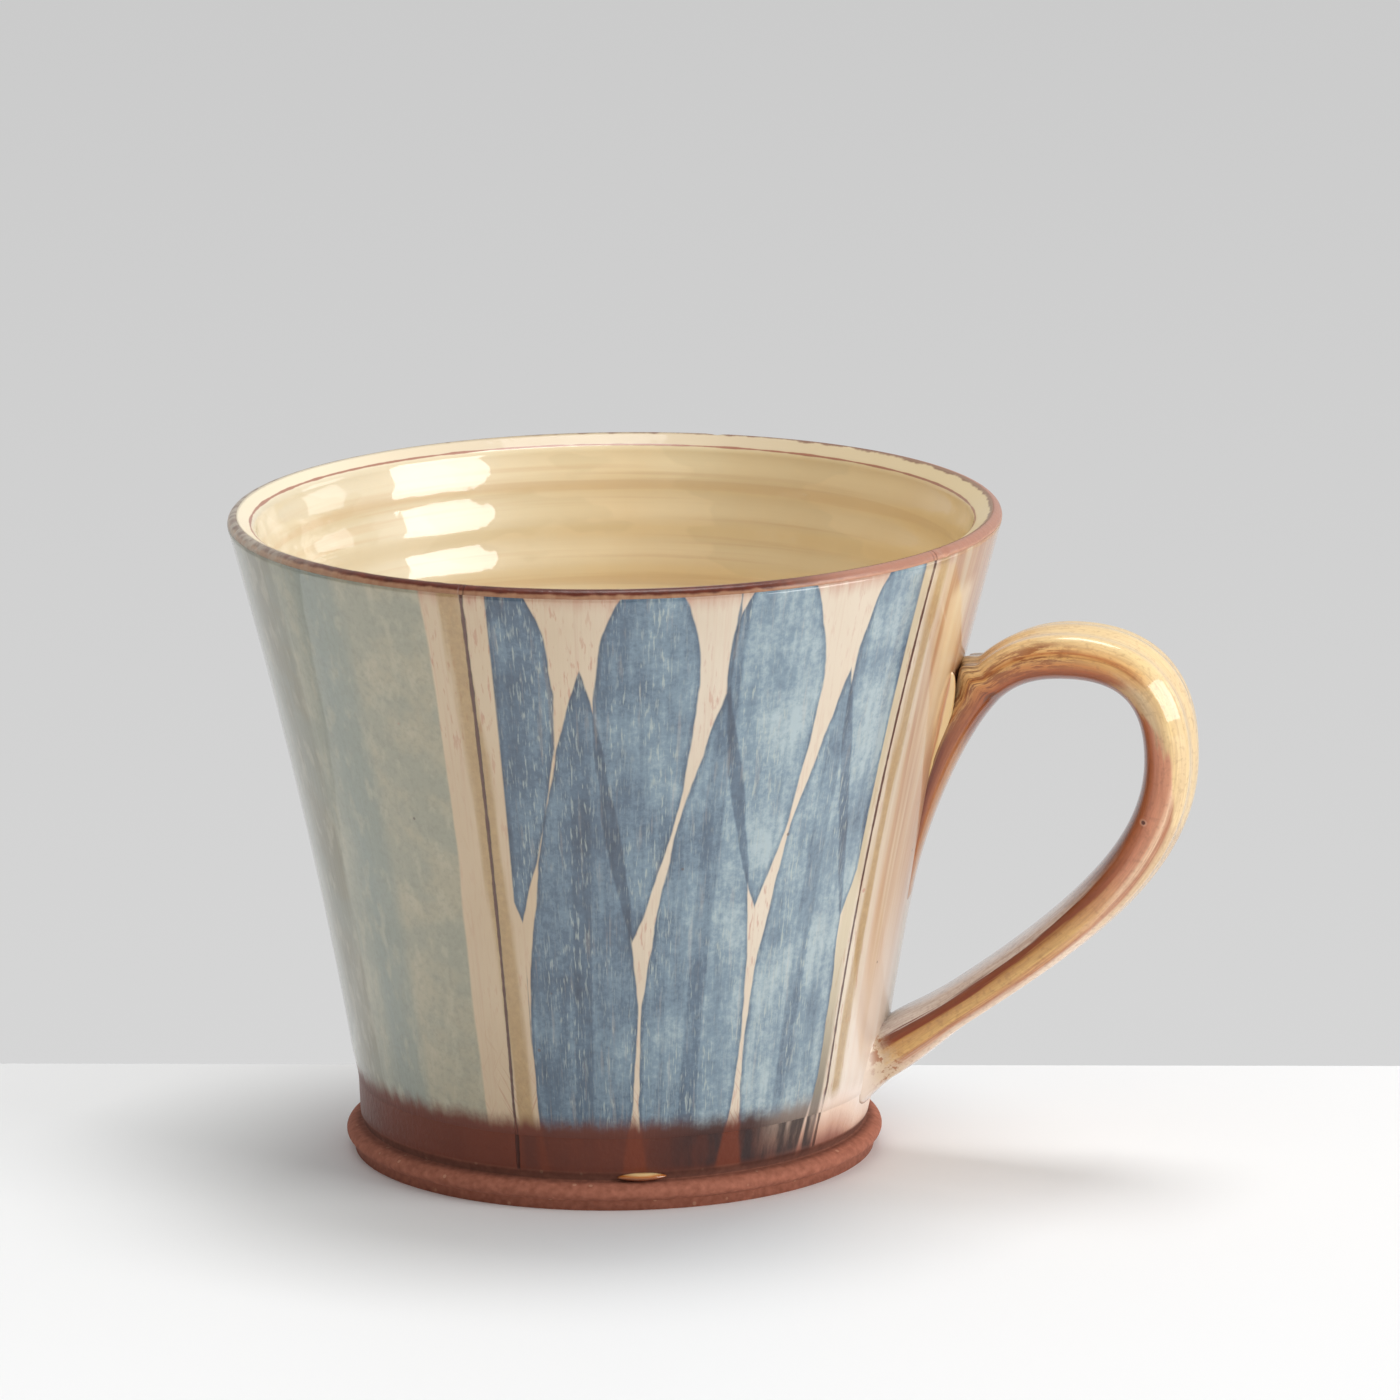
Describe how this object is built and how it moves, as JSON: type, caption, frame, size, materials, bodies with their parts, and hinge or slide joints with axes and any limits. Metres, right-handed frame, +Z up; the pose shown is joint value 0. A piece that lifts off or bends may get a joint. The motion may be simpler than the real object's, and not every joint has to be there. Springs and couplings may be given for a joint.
{
  "type": "mug",
  "caption": "Flared hand-thrown earthenware mug with a beaded foot and a ridged strap handle, slip-coated inside and out.",
  "frame": {"origin": "centre of the foot's flat underside, on the surface that the mug stands on", "axes": "+Z up along the axis of the thrown body, +X from that axis towards the handle"},
  "size_m": [0.1312, 0.104, 0.088],
  "materials": {
    "red_earthenware": "bare fired clay, matte and slightly grainy",
    "cream_slip": "cream slip under clear glossy glaze, with brushed leaf strokes in slate blue and grey green",
    "honey_slip": "cream slip under honey-tinted glossy glaze",
    "streaked_slip": "thin streaky cream slip over red-brown clay under glossy glaze",
    "amber_glaze": "thick glossy amber glaze"
  },
  "bodies": {
    "root": {"body": "red_earthenware", "handle": "streaked_slip", "near_seam_coil": "cream_slip", "far_seam_coil": "cream_slip", "lower_joint_pad": "cream_slip", "outer_slip_coat": "cream_slip", "inner_slip_coat": "honey_slip", "glaze_bead": "amber_glaze"}
  },
  "joints": []
}
